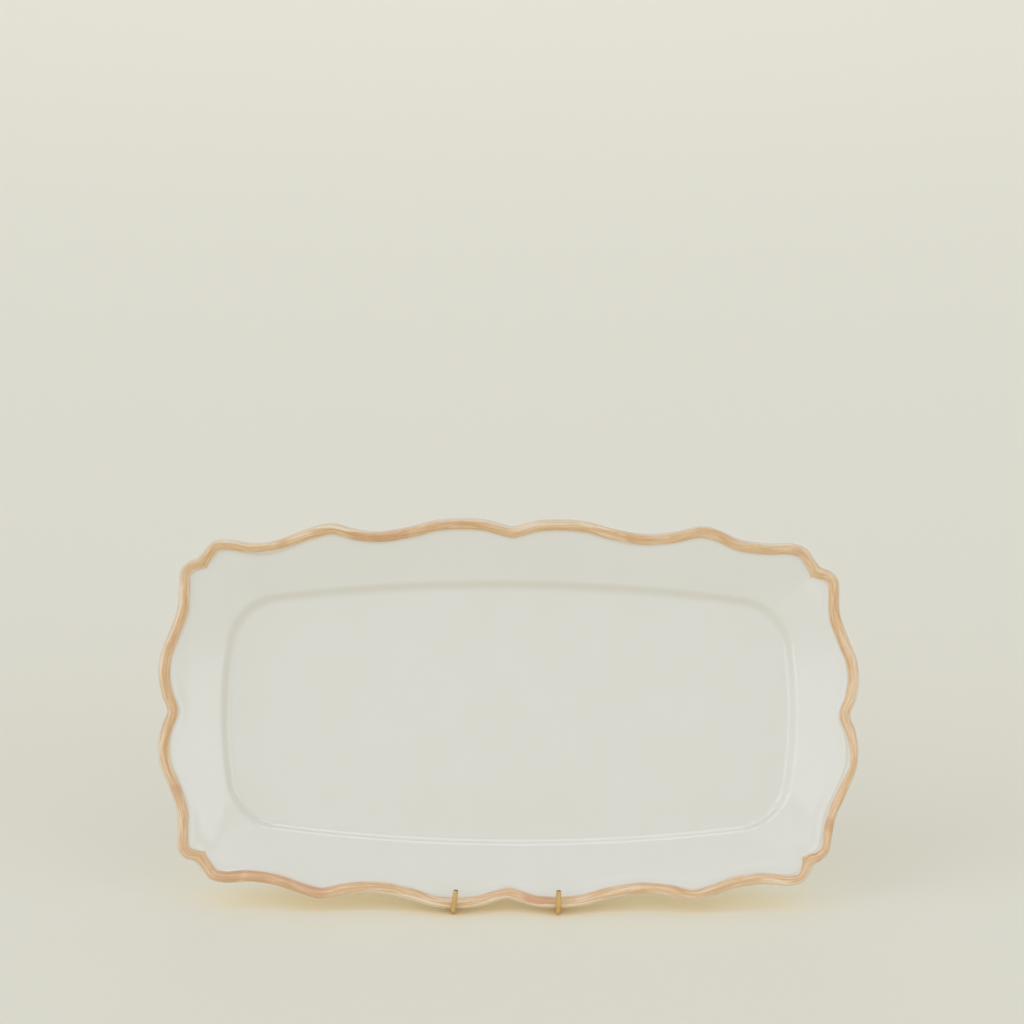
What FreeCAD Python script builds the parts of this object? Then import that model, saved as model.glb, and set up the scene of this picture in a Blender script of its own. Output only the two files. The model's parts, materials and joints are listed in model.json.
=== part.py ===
"""China serving platter standing on its folding brass plate stand.

The platter is a long scalloped dish: a shallow well with a stepped edge, a sloping border
whose four panels meet in soft valleys at the corners, and a raised bead round the rim that
wears a skin of coloured glaze. The stand is bent from brass rod. One rod makes both front
hooks, both uprights and the top bend, and two bars are brazed across its back. A second rod
makes the rear leg, which swings on the upper bar and stops when its two ears meet the
uprights.

Frame: +X along the platter's length, the platter's face towards -Y, +Z up, origin on the
table under the middle of the whole object's box. All lengths are millimetres.
"""

import FreeCAD, Part
import math
import os

Vector = FreeCAD.Vector

# ---- Platter, in plan: u along its length, v across it -----------------------------------
# One quarter of the rim, from the middle of a long side to the middle of a short side. The
# other three quarters mirror it.
RIM_QUARTER = [
    (0.0, 107.7),  # nick in the middle of the long side
    (4.5, 108.7),
    (16.0, 112.0),
    (30.0, 112.9),  # top of the middle lobe
    (44.0, 111.7),
    (58.0, 108.0),
    (77.0, 104.9),  # hollow
    (94.0, 106.0),
    (107.5, 108.5),  # pointed lobe
    (120.0, 105.7),
    (134.0, 100.9),
    (150.0, 98.8),  # hollow
    (164.0, 99.6),  # corner lobe, long side
    (172.0, 97.6),
    (177.0, 91.8),
    (180.6, 88.0),  # corner nick
    (186.4, 85.6),
    (190.6, 80.6),  # corner lobe, short side
    (191.6, 71.0),
    (192.4, 59.0),
    (197.6, 44.0),
    (202.2, 32.0),
    (203.4, 20.0),  # lobe beside the middle
    (201.6, 8.5),
    (198.8, 0.0),  # nick in the middle of the short side
]
STATIONS_PER_SPAN = 3  # stations round the rim from one of its points to the next

# The well's shoulder, where the border meets the step down to the floor.
WELL_HALF_LENGTH = 166.5
WELL_HALF_WIDTH = 76.0
WELL_LONG_SIDE_RADIUS = 1080.0  # the sides bow outwards
WELL_SHORT_SIDE_RADIUS = 270.0
WELL_CORNER_RADIUS = 33.0

# ---- Platter, in section: w above the foot it would rest on ------------------------------
FOOT_HEIGHT = 3.0
FLOOR_THICKNESS = 5.5
STEP_HEIGHT = 3.4
BORDER_SLOPE = 0.34  # rise over run, outwards from the shoulder
BORDER_THICKNESS = 5.2
VALLEY_SOFTNESS = 5.0  # how softly two border panels fold into each other
GLAZE_THICKNESS = 0.6

FLOOR_W = FOOT_HEIGHT + FLOOR_THICKNESS
SHOULDER_W = FLOOR_W + STEP_HEIGHT

# Profiles, as rows of (distance, height).
# Distance is inwards from the rim, height is above the border's slope carried on to there.
BEAD_PROFILE = [(6.3, 0.8), (5.1, 1.7), (3.5, 2.1), (1.9, 1.75), (0.7, 0.6)]
EDGE_PROFILE = [(0.0, -1.1), (0.15, -2.6), (1.1, -4.2), (2.8, -BORDER_THICKNESS)]
# Distance is outwards from the shoulder, height is above the foot.
STEP_PROFILE = [
    (-4.6, FLOOR_W),
    (-3.0, FLOOR_W + 0.8),
    (-1.2, SHOULDER_W - 0.7),
    (0.0, SHOULDER_W),
]
UNDERSIDE_PROFILE = [(2.5, 7.1), (-3.0, 4.7), (-5.6, 2.4), (-6.4, 0.5), (-7.0, 0.0)]
FOOT_INSIDE_PROFILE = [(-11.5, 0.0), (-12.1, 0.5), (-13.2, 2.4), (-15.0, FOOT_HEIGHT)]
BORDER_SHARES = [1 / 3, 2 / 3]  # of the way from the shoulder to the rim
FILLET_SHARE = 0.78  # where the border starts to turn up into the bead
FILLET_RISE = 0.15

# ---- Stand -------------------------------------------------------------------------------
ROD_DIAMETER = 3.0
ROD_R = ROD_DIAMETER / 2
LEAN = math.radians(16.0)  # of the uprights and the platter, back from vertical
STAND_SHIFT = -1.2  # the stand's middle, along the platter
HOOK_HALF_SPACING = 30.5
HOOK_HEIGHT = 15.4
HOOK_TILTS = {-1: math.radians(6.5), 1: 0.0}  # of the left and right hooks, to the middle
HOOK_GAP = 0.4  # from a hook to the front of the rim
REST_GAP = 0.02  # from the rod to the rim that rests on it, so that the solids stay apart
HOOK_BEND = 3.0  # centre line radius at the foot of a hook and of an upright
TOP_HALF_WIDTH = 20.0
TOP_BEND = 14.0
TOP_V = 82.0  # places up the stand are measured as v is, from the platter's middle
PIVOT_V = 55.0
BRACE_V = -62.0
BRAZE_LAP = 0.4  # how deep a bar or sleeve is let into the rod that it is brazed to
BAR_OVERHANG = 4.0  # of a bar past the centre line of an upright
LEG_SPREAD = math.radians(32.0)  # of the open rear leg from the uprights
LEG_TOP_HALF_WIDTH = 14.0
LEG_FOOT_HALF_WIDTH = 24.0
LEG_BEND = 9.0
SLEEVE_R = 2.6
SLEEVE_LENGTH = 8.0
PIVOT_CLEARANCE = 0.05
EAR_BEND = 3.6
EAR_REACH = 3.5  # past the centre line of an upright
EAR_GAP = 0.05


# ---- Curves in plan ----------------------------------------------------------------------
def mirrored(quarter):
    """The closed anticlockwise outline of a quarter that runs from the +v to the +u end."""
    back = quarter[::-1]
    upper = back + [(-u, v) for u, v in quarter[1:]]
    lower = [(-u, -v) for u, v in back[1:]] + [(u, -v) for u, v in quarter[1:-1]]
    return upper + lower


def smooth_closed(points, per_span):
    """Stations along the centripetal Catmull-Rom curve through a closed list of points."""
    stations = []
    for i in range(len(points)):
        p = [points[(i + k) % len(points)] for k in (-1, 0, 1, 2)]
        knots = [0.0]
        for a, b in zip(p, p[1:]):
            knots.append(knots[-1] + math.sqrt(math.dist(a, b)))
        for step in range(per_span):
            at = knots[1] + (knots[2] - knots[1]) * step / per_span
            a = [blend(p[j], p[j + 1], knots[j], knots[j + 1], at) for j in range(3)]
            b = [blend(a[j], a[j + 1], knots[j], knots[j + 2], at) for j in range(2)]
            stations.append(blend(b[0], b[1], knots[1], knots[2], at))
    return stations


def blend(a, b, low, high, at):
    """The point that divides a to b as at divides low to high."""
    share = (at - low) / (high - low)
    return tuple(x + (y - x) * share for x, y in zip(a, b))


def corner_centre(long_centre, short_centre):
    """Centre of the well's corner arc, which is tangent inside both side arcs."""
    to_long = WELL_LONG_SIDE_RADIUS - WELL_CORNER_RADIUS
    to_short = WELL_SHORT_SIDE_RADIUS - WELL_CORNER_RADIUS
    du, dv = short_centre[0] - long_centre[0], short_centre[1] - long_centre[1]
    apart = math.hypot(du, dv)
    along = (to_long**2 - to_short**2 + apart**2) / (2 * apart)
    across = math.sqrt(to_long**2 - along**2)
    return (
        long_centre[0] + (along * du + across * dv) / apart,
        long_centre[1] + (along * dv - across * du) / apart,
    )


LONG_CENTRE = (0.0, WELL_HALF_WIDTH - WELL_LONG_SIDE_RADIUS)
SHORT_CENTRE = (WELL_HALF_LENGTH - WELL_SHORT_SIDE_RADIUS, 0.0)
CORNER_CENTRE = corner_centre(LONG_CENTRE, SHORT_CENTRE)


def on_shoulder(point):
    """The point of the well's shoulder nearest to a point outside it."""
    u, v = abs(point[0]), abs(point[1])
    # Lines from each side's centre through the corner's centre part the three arcs.
    steep = (CORNER_CENTRE[1] - LONG_CENTRE[1]) * u < CORNER_CENTRE[0] * (v - LONG_CENTRE[1])
    flat = CORNER_CENTRE[1] * (u - SHORT_CENTRE[0]) > (CORNER_CENTRE[0] - SHORT_CENTRE[0]) * v
    centre, radius = CORNER_CENTRE, WELL_CORNER_RADIUS
    if steep:
        centre, radius = LONG_CENTRE, WELL_LONG_SIDE_RADIUS
    if flat:
        centre, radius = SHORT_CENTRE, WELL_SHORT_SIDE_RADIUS
    share = radius / math.dist(centre, (u, v))
    return (
        math.copysign(centre[0] + (u - centre[0]) * share, point[0]),
        math.copysign(centre[1] + (v - centre[1]) * share, point[1]),
    )


RIM = smooth_closed(mirrored(RIM_QUARTER), STATIONS_PER_SPAN)
SHOULDER = [on_shoulder(p) for p in RIM]


# ---- Rings round the platter -------------------------------------------------------------
def border_height(point):
    """Height of the border's slope at a point outside the shoulder."""
    u, v = abs(point[0]), abs(point[1])
    past_long = v - WELL_HALF_WIDTH + u * u / (2 * WELL_LONG_SIDE_RADIUS)
    past_short = u - WELL_HALF_LENGTH + v * v / (2 * WELL_SHORT_SIDE_RADIUS)
    larger = (past_long + past_short + math.hypot(past_long - past_short, VALLEY_SOFTNESS)) / 2
    return SHOULDER_W + BORDER_SLOPE * larger


def rim_ring(distance, height):
    """A ring a distance in from the rim, above the border's slope carried on to there."""
    ring = []
    for rim, shoulder in zip(RIM, SHOULDER):
        u, v = blend(rim, shoulder, 0, math.dist(rim, shoulder), distance)
        ring.append(Vector(u, v, border_height(rim) - BORDER_SLOPE * distance + height))
    return ring


def border_ring(share, rise):
    """A ring a share of the way from the shoulder to the rim, above the border's slope."""
    ring = []
    for rim, shoulder in zip(RIM, SHOULDER):
        at = blend(shoulder, rim, 0, 1, share)
        # The shoulder is level, so the slope's own dip at the corners fades out towards it.
        dip = (SHOULDER_W - border_height(shoulder)) * (1 - share)
        ring.append(Vector(at[0], at[1], border_height(at) + dip + rise))
    return ring


def well_ring(distance, height):
    """A level ring a distance outwards from the shoulder."""
    ring = []
    for rim, shoulder in zip(RIM, SHOULDER):
        u, v = blend(shoulder, rim, 0, math.dist(rim, shoulder), distance)
        ring.append(Vector(u, v, height))
    return ring


def under_glaze(profile):
    """The bead's profile under its glaze, which feathers out at both ends."""
    middle = [(distance, height - GLAZE_THICKNESS) for distance, height in profile[1:-1]]
    return [profile[0], *middle, profile[-1]]


def body_rings():
    """Every ring of the platter, from the floor of the well round to the inside of the foot."""
    rings = [well_ring(*row) for row in STEP_PROFILE]
    rings += [border_ring(share, 0.0) for share in BORDER_SHARES]
    rings += [border_ring(FILLET_SHARE, FILLET_RISE)]
    rings += [rim_ring(*row) for row in under_glaze(BEAD_PROFILE) + EDGE_PROFILE]
    rings += [well_ring(*row) for row in UNDERSIDE_PROFILE + FOOT_INSIDE_PROFILE]
    return rings


def edge_of(ring):
    curve = Part.BSplineCurve()
    curve.interpolate(Points=ring, PeriodicFlag=True)
    return curve.toShape()


def solid_through(rings, tube):
    """A solid whose skin runs from ring to ring. A tube's skin comes back to the first ring,
    and otherwise flat faces fill the first and last rings."""
    edges = [edge_of(ring) for ring in rings]
    ends = [] if tube else [Part.Face(Part.Wire([edge])) for edge in (edges[0], edges[-1])]
    if tube:
        edges.append(edges[0])
    shell = Part.makeShell([Part.makeRuledSurface(a, b) for a, b in zip(edges, edges[1:])] + ends)
    shell.sewShape()
    solid = Part.makeSolid(shell)
    if solid.Volume < 0:
        solid.reverse()
    return solid


def rim_glaze():
    """The coloured skin on the bead."""
    outer = [rim_ring(*row) for row in BEAD_PROFILE]
    inner = [rim_ring(*row) for row in under_glaze(BEAD_PROFILE)[1:-1]]
    return solid_through(outer + inner[::-1], tube=True)


# ---- Places on the stand -----------------------------------------------------------------
UP_PLATTER = Vector(0, math.sin(LEAN), math.cos(LEAN))  # the platter's +v
OUT_OF_PLATTER = Vector(0, -math.cos(LEAN), math.sin(LEAN))  # the platter's +w
TURN = FreeCAD.Rotation(Vector(1, 0, 0), 90 - math.degrees(LEAN))  # stands the platter up

RINGS = body_rings()
SKIN = [TURN.multVec(point) for ring in RINGS for point in ring]
LOWEST = min(p.z for p in SKIN)
FRONT = min(p.y for p in SKIN if p.z < LOWEST + HOOK_HEIGHT)
PLATTER_ORIGIN = Vector(0, 0, ROD_DIAMETER + REST_GAP - LOWEST)

HOOK_Y = FRONT - HOOK_GAP - ROD_R
FOOT_V = (ROD_R - PLATTER_ORIGIN.z + ROD_R * math.sin(LEAN)) / math.cos(LEAN)
BAR_BEHIND = ROD_R + ROD_DIAMETER - BRAZE_LAP  # the platter's foot


def on_stand(x, v, behind):
    """A point x from the stand's middle and v up it, behind the plane of the platter's foot."""
    return PLATTER_ORIGIN + Vector(STAND_SHIFT + x, 0, 0) + UP_PLATTER * v - OUT_OF_PLATTER * behind


def on_leg(x, up, behind):
    """A point of the open rear leg: up the leg from its pivot, and behind the pivot."""
    angle = LEAN - LEG_SPREAD
    along = Vector(0, math.sin(angle), math.cos(angle))
    back = Vector(0, math.cos(angle), -math.sin(angle))
    return on_stand(x, PIVOT_V, BAR_BEHIND) + along * up + back * behind


def upright_half_width(v):
    """Half the distance between the uprights' centre lines at a place up the stand."""
    share = (v - FOOT_V) / (TOP_V - FOOT_V)
    return HOOK_HALF_SPACING + (TOP_HALF_WIDTH - HOOK_HALF_SPACING) * share


# ---- Pieces of the stand -----------------------------------------------------------------
def bent_rod(corners, radii):
    """A round rod along straight runs, with an arc of its own radius at each inner corner."""
    edges = []
    start = corners[0]
    for before, corner, after, radius in zip(corners, corners[1:], corners[2:], radii):
        to_before = (before - corner).normalize()
        to_after = (after - corner).normalize()
        half_angle = to_before.getAngle(to_after) / 2
        tangent = radius / math.tan(half_angle)
        first = corner + to_before * tangent
        last = corner + to_after * tangent
        inwards = (to_before + to_after).normalize()
        middle = corner + inwards * (radius / math.sin(half_angle) - radius)
        edges.append(Part.LineSegment(start, first).toShape())
        edges.append(Part.Arc(first, middle, last).toShape())
        start = last
    edges.append(Part.LineSegment(start, corners[-1]).toShape())
    section = Part.Wire([Part.makeCircle(ROD_R, corners[0], corners[1] - corners[0])])
    return Part.Wire(edges).makePipeShell([section], True, False)


def front_frame():
    """Hook, foot and upright of the left side, the top bend, and the same down the right."""
    sides = []
    for side, tilt in HOOK_TILTS.items():
        x = side * HOOK_HALF_SPACING
        tip_x = x - side * math.tan(tilt) * (HOOK_HEIGHT - ROD_R)
        foot = on_stand(x, FOOT_V, ROD_R)
        sides.append(
            [
                Vector(STAND_SHIFT + tip_x, HOOK_Y, HOOK_HEIGHT),
                Vector(STAND_SHIFT + x, HOOK_Y, ROD_R),
                foot,
                on_stand(side * TOP_HALF_WIDTH, TOP_V, ROD_R),
            ]
        )
    bends = [HOOK_BEND, HOOK_BEND, TOP_BEND]
    return bent_rod(sides[0] + sides[1][::-1], bends + bends[::-1])


def cross_bar(v, uprights):
    """A bar across the back of the uprights, notched where it is brazed to them."""
    half = upright_half_width(v) + BAR_OVERHANG
    bar = Part.makeCylinder(ROD_R, 2 * half, on_stand(-half, v, BAR_BEHIND), Vector(1, 0, 0))
    return bar.cut(uprights)


def hinge_sleeve(side):
    """A short tube that turns on the upper bar."""
    start = on_stand(side * LEG_TOP_HALF_WIDTH - SLEEVE_LENGTH / 2, PIVOT_V, BAR_BEHIND)
    tube = Part.makeCylinder(SLEEVE_R, SLEEVE_LENGTH, start, Vector(1, 0, 0))
    bore = Part.makeCylinder(ROD_R + PIVOT_CLEARANCE, SLEEVE_LENGTH, start, Vector(1, 0, 0))
    return tube.cut(bore)


def rear_leg(sleeves):
    """Ear, side and foot of the left side, then up the right. The ears stop the open leg."""
    behind = SLEEVE_R + ROD_R - BRAZE_LAP
    # An open ear just touches the back of the uprights.
    reach = BAR_BEHIND + behind * math.cos(LEG_SPREAD) - 2 * ROD_DIAMETER + ROD_R - EAR_GAP
    ear_up = reach / math.sin(LEG_SPREAD)
    foot_down = (on_leg(0, 0, behind).z - ROD_R) / math.cos(LEG_SPREAD - LEAN)
    ear_half = upright_half_width(PIVOT_V + ear_up) + EAR_REACH
    corners = []
    for side in (-1, 1):
        half = [
            on_leg(side * ear_half, ear_up, behind),
            on_leg(side * LEG_TOP_HALF_WIDTH, ear_up, behind),
            on_leg(side * LEG_FOOT_HALF_WIDTH, -foot_down, behind),
        ]
        corners += half[::-side]
    rod = bent_rod(corners, [EAR_BEND, LEG_BEND, LEG_BEND, EAR_BEND])
    return rod.cut(sleeves)


# ---- Assembly ----------------------------------------------------------------------------
frame = front_frame()
left_sleeve = hinge_sleeve(-1)
right_sleeve = hinge_sleeve(1)
platter = {"platter_body": solid_through(RINGS, tube=False), "rim_glaze": rim_glaze()}
for piece in platter.values():
    piece.Placement = FreeCAD.Placement(PLATTER_ORIGIN, TURN)
nodes = {
    **platter,
    "front_frame": frame,
    "pivot_bar": cross_bar(PIVOT_V, frame),
    "lower_brace": cross_bar(BRACE_V, frame),
    "left_hinge_sleeve": left_sleeve,
    "right_hinge_sleeve": right_sleeve,
    "rear_leg": rear_leg([left_sleeve, right_sleeve]),
}

# The hooks are the foremost point of the object and the rear leg is the hindmost.
hindmost = nodes["rear_leg"].optimalBoundingBox(False).YMax
centring = Vector(0, -(HOOK_Y - ROD_R + hindmost) / 2, 0)

os.makedirs("parts", exist_ok=True)
for name, shape in nodes.items():
    shape.translate(centring)
    shape.exportStep(f"parts/{name}.step")
    box = shape.optimalBoundingBox(False)
    print(f"{name}: valid {shape.isValid()}, {len(shape.Solids)} solid, {shape.Volume:.0f} mm3")
    print(f"  x {box.XMin:.2f} to {box.XMax:.2f}, y {box.YMin:.2f} to {box.YMax:.2f}", end="")
    print(f", z {box.ZMin:.2f} to {box.ZMax:.2f}")
print("platter origin", PLATTER_ORIGIN + centring)
print("rear leg pivot", on_stand(0, PIVOT_V, BAR_BEHIND) + centring)
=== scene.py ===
"""Looks of the scalloped platter on its brass plate stand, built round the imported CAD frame.

The platter's section is swept round its rim as dense rings, so its bead, valleys, well and
foot are real geometry, and the stand's rods are swept along the bends of the CAD rods.
Lengths in the tables are millimetres, and MM turns them into Blender's metres.
"""

import json
import math

import bpy
import numpy as np
from mathutils import Matrix, Vector
from mathutils.kdtree import KDTree


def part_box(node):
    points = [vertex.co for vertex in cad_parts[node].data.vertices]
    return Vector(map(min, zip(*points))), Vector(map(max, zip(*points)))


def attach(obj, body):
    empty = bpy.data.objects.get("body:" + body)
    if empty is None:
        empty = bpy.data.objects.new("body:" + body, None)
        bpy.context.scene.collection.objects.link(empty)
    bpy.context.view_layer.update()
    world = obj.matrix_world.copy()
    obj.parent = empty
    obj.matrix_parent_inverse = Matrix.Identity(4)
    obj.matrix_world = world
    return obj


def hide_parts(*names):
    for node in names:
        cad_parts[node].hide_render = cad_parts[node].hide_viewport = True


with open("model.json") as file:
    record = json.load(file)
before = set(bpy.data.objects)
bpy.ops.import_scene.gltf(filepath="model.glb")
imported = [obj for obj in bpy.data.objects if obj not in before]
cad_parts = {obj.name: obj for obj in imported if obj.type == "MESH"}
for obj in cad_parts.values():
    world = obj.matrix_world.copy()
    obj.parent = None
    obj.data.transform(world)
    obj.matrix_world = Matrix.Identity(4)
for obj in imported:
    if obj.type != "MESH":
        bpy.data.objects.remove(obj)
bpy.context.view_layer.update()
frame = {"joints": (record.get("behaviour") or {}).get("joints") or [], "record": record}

MM = 0.001

# ---- Places from the frame ---------------------------------------------------------------
WELL_FLOOR = frame["record"]["mounts"][0]
HINGE = next(joint for joint in frame["joints"] if joint["name"] == "rear_leg_fold")
FLOOR_W = 8.5  # height of the well's floor above the plane of the foot

# The platter's own axes: along its length, up its face, and out of the dish.
ALONG = np.array([1.0, 0.0, 0.0])
OUT = np.array(WELL_FLOOR["axis"])
UP = np.cross(OUT, ALONG)
ORIGIN = np.array(WELL_FLOOR["pos_m"]) - OUT * FLOOR_W * MM


def in_row(u, v, w):
    """Row frame points for the platter's u, v and w, which may be arrays of one shape."""
    terms = [np.multiply.outer(value, axis) for value, axis in ((u, ALONG), (v, UP), (w, OUT))]
    return ORIGIN + MM * sum(terms)


# ---- The platter in plan: u along it, v across it ----------------------------------------
RIM_QUARTER = [
    (0.0, 107.7),  # nick in the middle of the long side
    (4.5, 108.7),
    (16.0, 112.0),
    (30.0, 112.9),  # top of the middle lobe
    (44.0, 111.7),
    (58.0, 108.0),
    (77.0, 104.9),  # hollow
    (94.0, 106.0),
    (107.5, 108.5),  # pointed lobe
    (120.0, 105.7),
    (134.0, 100.9),
    (150.0, 98.8),  # hollow
    (164.0, 99.6),  # corner lobe, long side
    (172.0, 97.6),
    (177.0, 91.8),
    (180.6, 88.0),  # corner nick
    (186.4, 85.6),
    (190.6, 80.6),  # corner lobe, short side
    (191.6, 71.0),
    (192.4, 59.0),
    (197.6, 44.0),
    (202.2, 32.0),
    (203.4, 20.0),  # lobe beside the middle
    (201.6, 8.5),
    (198.8, 0.0),  # nick in the middle of the short side
]
# Where the clay was trimmed or leant off the mould's even line:
# (u, v, shift in u, shift in v, how far around it reaches).
DRIFTS = [
    (-105, 108, 3.6, 1.0, 17),
    (-142, 100, 0.0, -1.6, 17),
    (0, 108, 1.0, 0.8, 17),
    (112, 107, 3.0, 1.0, 17),
    (148, 100, 0.0, 1.0, 17),
    (184, 86, 0.3, -2.0, 17),
    (188, -76, -3.2, 0.0, 17),
    (186, -85, -1.6, 0.4, 8),
    (177, -91, 1.2, 0.8, 6),
    (-36, -112, 0.0, -0.5, 17),
    (0, -110, 0.0, -0.4, 80),
    (-184, -88, -0.5, 0.3, 17),
    (-180, 91, -0.6, 0.6, 17),
    (-198, 48, -0.3, 0.0, 17),
    (-200, 0, 0.7, 0.0, 17),
    (-196, -45, 0.9, 0.0, 17),
]
STATIONS_PER_SPAN = 8
FINE_STATIONS = 6  # per station, for measuring distances to the rim
TRIMMED = 0.3  # how far inside the mould's line the rim was trimmed
TRIM_WAVES = [(0.08, 3, 1.0), (0.07, 7, 2.2), (0.05, 16, 0.4)]
INSET_ROUNDS = 12
DEEPEST_INSET = 11

WELL_MIDDLE = np.array([0.6, -0.7])  # the well sits a little off the rim's middle
WELL_HALF_LENGTH = 167.1
WELL_HALF_WIDTH = 76.7
WELL_LONG_SIDE_RADIUS = 1080.0
WELL_SHORT_SIDE_RADIUS = 270.0
WELL_CORNER_RADIUS = 33.0


def spacing(a, b):
    """Centripetal knot spacing of two points, or of two rings by their mean distance."""
    return max(math.sqrt(np.linalg.norm(np.atleast_2d(b - a), axis=-1).mean()), 1e-6)


def mix(a, b, low, high, at):
    """What lies between a and b as at lies between low and high."""
    return a + (b - a) * (at - low) / (high - low)


def smooth(rows, per_span, closed):
    """The Catmull-Rom curve through rows, which are points or whole rings of points."""
    rows = np.asarray(rows, float)
    if closed:
        rows = np.concatenate([rows[-1:], rows, rows[:2]])
    else:
        rows = np.concatenate([2 * rows[:1] - rows[1:2], rows, 2 * rows[-1:] - rows[-2:-1]])
    made = []
    for p in zip(rows, rows[1:], rows[2:], rows[3:]):
        t = np.cumsum([0.0] + [spacing(a, b) for a, b in zip(p, p[1:])])
        for at in np.linspace(t[1], t[2], per_span, endpoint=False):
            a = [mix(p[j], p[j + 1], t[j], t[j + 1], at) for j in range(3)]
            b = [mix(a[j], a[j + 1], t[j], t[j + 2], at) for j in range(2)]
            made.append(mix(b[0], b[1], t[1], t[2], at))
    if not closed:
        made.append(rows[-2])
    return np.array(made)


def mirrored(quarter):
    """The closed anticlockwise outline of a quarter that runs from the +v to the +u end."""
    back = quarter[::-1]
    upper = back + [(-u, v) for u, v in quarter[1:]]
    lower = [(-u, -v) for u, v in back[1:]] + [(u, -v) for u, v in quarter[1:-1]]
    return upper + lower


def drifted(points):
    """The outline's points, moved by each drift according to how near it they are."""
    moved = points.copy()
    for u, v, shift_u, shift_v, spread in DRIFTS:
        near = np.exp(-(((points - [u, v]) / spread) ** 2).sum(axis=1))
        moved += near[:, None] * [shift_u, shift_v]
    return moved


def on_shoulder(points):
    """The nearest points of the well's shoulder to points outside it.

    The shoulder is four long arcs joined by small corner arcs, worked out in one quarter.
    """
    long_centre = np.array([0.0, WELL_HALF_WIDTH - WELL_LONG_SIDE_RADIUS])
    short_centre = np.array([WELL_HALF_LENGTH - WELL_SHORT_SIDE_RADIUS, 0.0])
    to_long = WELL_LONG_SIDE_RADIUS - WELL_CORNER_RADIUS
    to_short = WELL_SHORT_SIDE_RADIUS - WELL_CORNER_RADIUS
    du, dv = short_centre - long_centre
    apart = math.hypot(du, dv)
    share = (to_long**2 - to_short**2 + apart**2) / (2 * apart)
    across = math.sqrt(to_long**2 - share**2)
    corner = long_centre + (share * np.array([du, dv]) + across * np.array([dv, -du])) / apart
    near = np.abs(points)
    steep = (corner[1] - long_centre[1]) * near[:, 0] < corner[0] * (near[:, 1] - long_centre[1])
    flat = corner[1] * (near[:, 0] - short_centre[0]) > (corner[0] - short_centre[0]) * near[:, 1]
    centre = np.where(steep[:, None], long_centre, np.where(flat[:, None], short_centre, corner))
    radius = np.where(
        steep, WELL_LONG_SIDE_RADIUS, np.where(flat, WELL_SHORT_SIDE_RADIUS, WELL_CORNER_RADIUS)
    )
    away = near - centre
    found = centre + away * (radius / np.linalg.norm(away, axis=1))[:, None]
    return np.where(points < 0, -found, found)


def waves(turn, *terms):
    """A sum of sines of the way round the rim, each (size, waves round the rim, phase)."""
    return sum(size * np.sin(number * turn + phase) for size, number, phase in terms)


def inset(distance):
    """How far out each ray is at the true distance inside the rim."""
    reach = REACH - distance
    for _ in range(INSET_ROUNDS):
        at = SHOULDER + RAY * reach[:, None]
        gap = np.array([RIM_TREE.find((u, v, 0.0))[2] for u, v in at])
        reach = reach - distance + gap
    return reach


def reach_at(distance):
    """The insets at distances from the rim, which are one number or one for each ray."""
    low = np.clip(np.floor(distance), 0, len(INSETS) - 2).astype(int)
    rays = np.arange(len(REACH))
    return INSETS[low, rays] + (INSETS[low + 1, rays] - INSETS[low, rays]) * (distance - low)


# Each station of the rim has a ray from the nearest point of the well's shoulder out to it.
RIM = drifted(smooth(mirrored(RIM_QUARTER), STATIONS_PER_SPAN, closed=True))
STEPS = np.linalg.norm(np.roll(RIM, -1, 0) - RIM, axis=1)
RIM_LENGTH = STEPS.sum()
TURN = 2 * math.pi * (np.cumsum(STEPS) - STEPS) / RIM_LENGTH
SHOULDER = on_shoulder(RIM - WELL_MIDDLE) + WELL_MIDDLE
REACH = np.linalg.norm(RIM - SHOULDER, axis=1)
RAY = (RIM - SHOULDER) / REACH[:, None]
REACH = REACH - TRIMMED + waves(TURN, *TRIM_WAVES)
RIM = SHOULDER + RAY * REACH[:, None]
FINE_RIM = smooth(RIM, FINE_STATIONS, closed=True)
RIM_TREE = KDTree(len(FINE_RIM))
for number, (u, v) in enumerate(FINE_RIM):
    RIM_TREE.insert((u, v, 0.0), number)
RIM_TREE.balance()
INSETS = np.array([inset(distance) for distance in range(DEEPEST_INSET + 1)])

# ---- The platter in section: w above the plane of the foot -------------------------------
SHOULDER_W = FLOOR_W + 3.4
BORDER_SLOPE = 0.34
VALLEY_SOFTNESS = 4.0

# (distance outwards from the shoulder, height above the foot)
STEP_ROWS = [
    (-9.0, FLOOR_W),
    (-6.4, FLOOR_W),
    (-5.3, FLOOR_W + 0.08),
    (-4.3, FLOOR_W + 0.33),
    (-3.3, FLOOR_W + 0.8),
    (-2.2, FLOOR_W + 1.5),
    (-1.0, FLOOR_W + 2.46),
    (-0.1, FLOOR_W + 3.12),
    (0.5, FLOOR_W + 3.47),
    (1.2, FLOOR_W + 3.81),
    (2.2, SHOULDER_W + 0.75),
]
BORDER_SHARES = [0.14, 0.3, 0.46, 0.62]  # of the way from the shoulder to the rim
# (distance inwards from the rim, height above the border's slope carried on to there)
BEAD_ROWS = [
    (10.0, 0.0),
    (8.0, 0.0),
    (7.1, 0.15),
    (6.4, 0.65),
    (5.8, 1.15),
    (4.8, 1.75),
    (3.5, 2.1),
    (2.2, 1.9),
    (1.1, 1.15),
    (0.3, 0.0),
    (0.0, -1.2),
]
EDGE_ROWS = [(0.05, -2.3), (0.5, -3.4), (1.5, -4.5), (3.2, -5.2), (6.5, -5.3)]
UNDER_ROWS = [
    (9.0, 9.3),
    (2.5, 7.1),
    (-1.5, 5.5),
    (-4.0, 4.1),
    (-5.4, 2.6),
    (-6.1, 1.1),
    (-6.5, 0.35),
    (-7.2, 0.0),
    (-11.3, 0.0),
    (-11.9, 0.3),
    (-12.4, 1.1),
    (-13.3, 2.4),
    (-14.6, 3.0),
    (-17.0, 3.0),
]
ROWS_PER_SPAN = 2
FLOOR_RINGS = 14  # from the edge of a flat floor to its middle
SMALLEST_RING = 0.02  # as a share of the floor

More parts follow.
